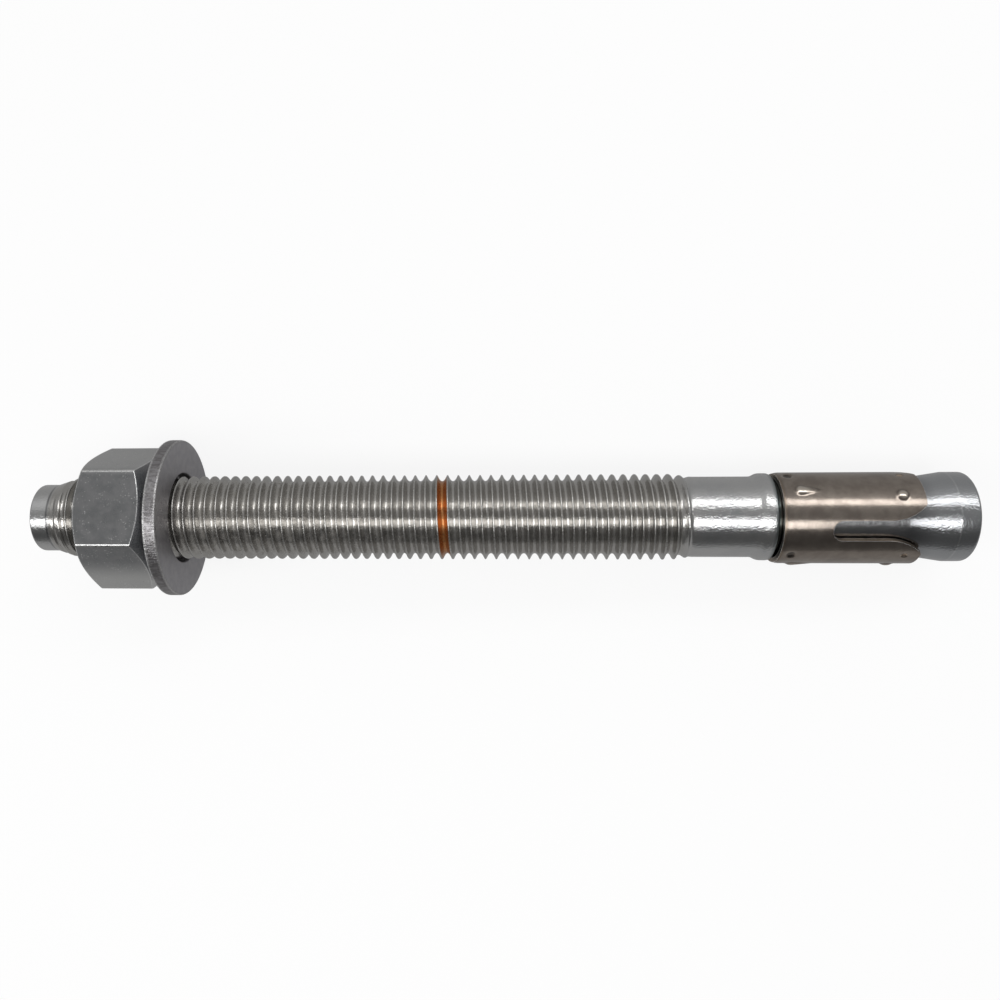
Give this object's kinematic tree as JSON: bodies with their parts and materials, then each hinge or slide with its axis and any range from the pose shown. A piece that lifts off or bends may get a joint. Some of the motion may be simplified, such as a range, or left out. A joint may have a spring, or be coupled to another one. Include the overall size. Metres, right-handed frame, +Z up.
{
  "type": "wedge anchor",
  "caption": "Expansion wedge anchor: threaded stud with hexagon nut, flat washer, and a slotted steel sleeve round a tapered cone.",
  "frame": {"origin": "centre of the bounding box on the floor that the anchor lies on", "axes": "+X along the bolt towards the cone, +Z up from the floor; the axis slopes down to the cone, because the washer's rim carries the nut's end"},
  "size_m": [0.2106, 0.0364, 0.0366],
  "materials": {
    "bolt_zinc": "bright zinc plating",
    "nut_zinc": "satin zinc plating",
    "washer_zinc": "satin zinc plating",
    "sleeve_steel": "plain rolled stainless steel"
  },
  "bodies": {
    "bolt": {"anchor_bolt": "bolt_zinc"},
    "washer": {"flat_washer": "washer_zinc"},
    "nut": {"hex_nut": "nut_zinc"},
    "sleeve": {"expansion_sleeve": "sleeve_steel"}
  },
  "joints": [
    {"name": "washer_slide", "type": "slide", "parent": "bolt", "child": "washer", "axis": [0.999, 0, -0.0449], "range_m": [-0.0126, 0.1176]},
    {"name": "nut_turn", "type": "hinge", "parent": "washer", "child": "nut", "pos_m": [-0.08376, 0, 0.01834], "axis": [0.999, 0, -0.0449], "range_deg": [-1800, 16920]},
    {"name": "sleeve_turn", "type": "hinge", "parent": "bolt", "child": "sleeve", "pos_m": [0.07902, 0, 0.01103], "axis": [0.999, 0, -0.0449], "continuous": true}
  ],
  "couplings": [
    {"joint": "washer_slide", "follows": "nut_turn", "m_per_rad": 0.00039789}
  ]
}
